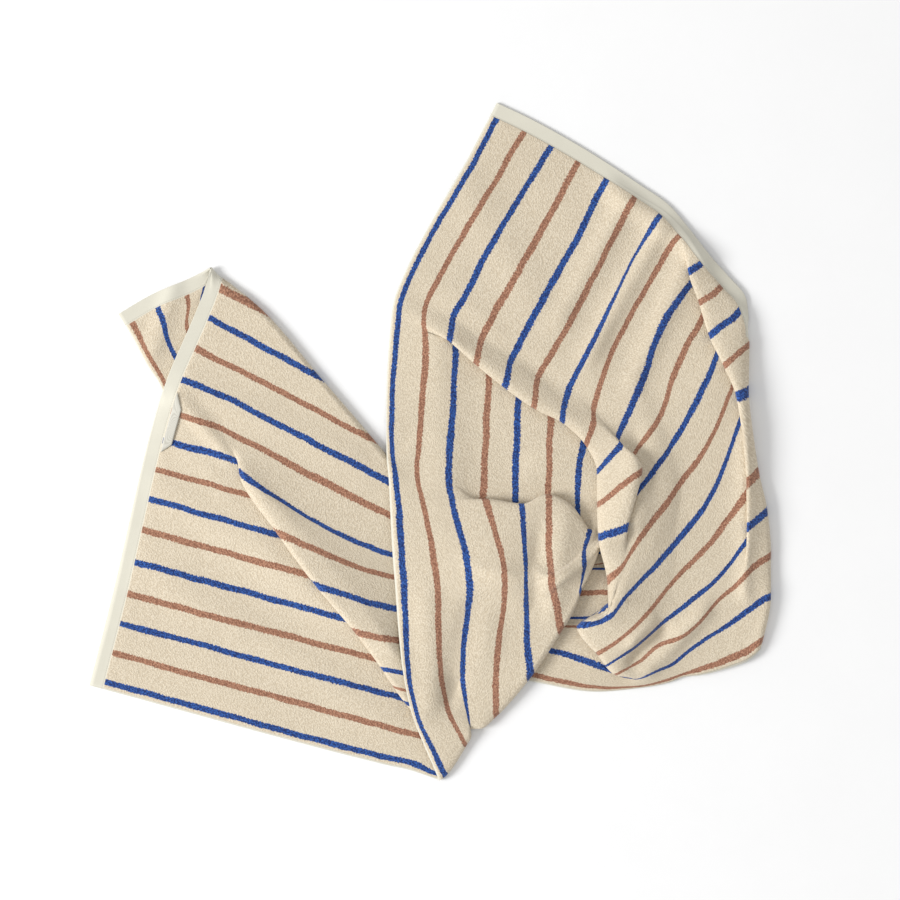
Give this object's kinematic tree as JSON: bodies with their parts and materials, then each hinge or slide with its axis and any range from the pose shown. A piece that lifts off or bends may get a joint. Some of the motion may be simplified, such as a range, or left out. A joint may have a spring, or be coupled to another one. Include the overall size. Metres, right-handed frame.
{
  "type": "folded bath towel",
  "caption": "Striped terry bath towel thrown down in loose folds, with flat woven hems and a bare hanging loop.",
  "frame": {"origin": "middle of the towel's footprint, on the surface that it lies on", "axes": "+Z up, away from the surface; +X to the right and +Y up in a view from above, with the hanging loop at the left"},
  "size_m": [0.8698, 0.8666, 0.0412],
  "materials": {
    "terry_cloth": "looped cotton terry, cream with blue and rose-brown stripes",
    "woven_ribbon": "plain woven ribbon"
  },
  "bodies": {
    "root": {"towel_cloth": "terry_cloth", "hanging_loop": "woven_ribbon"}
  },
  "joints": []
}
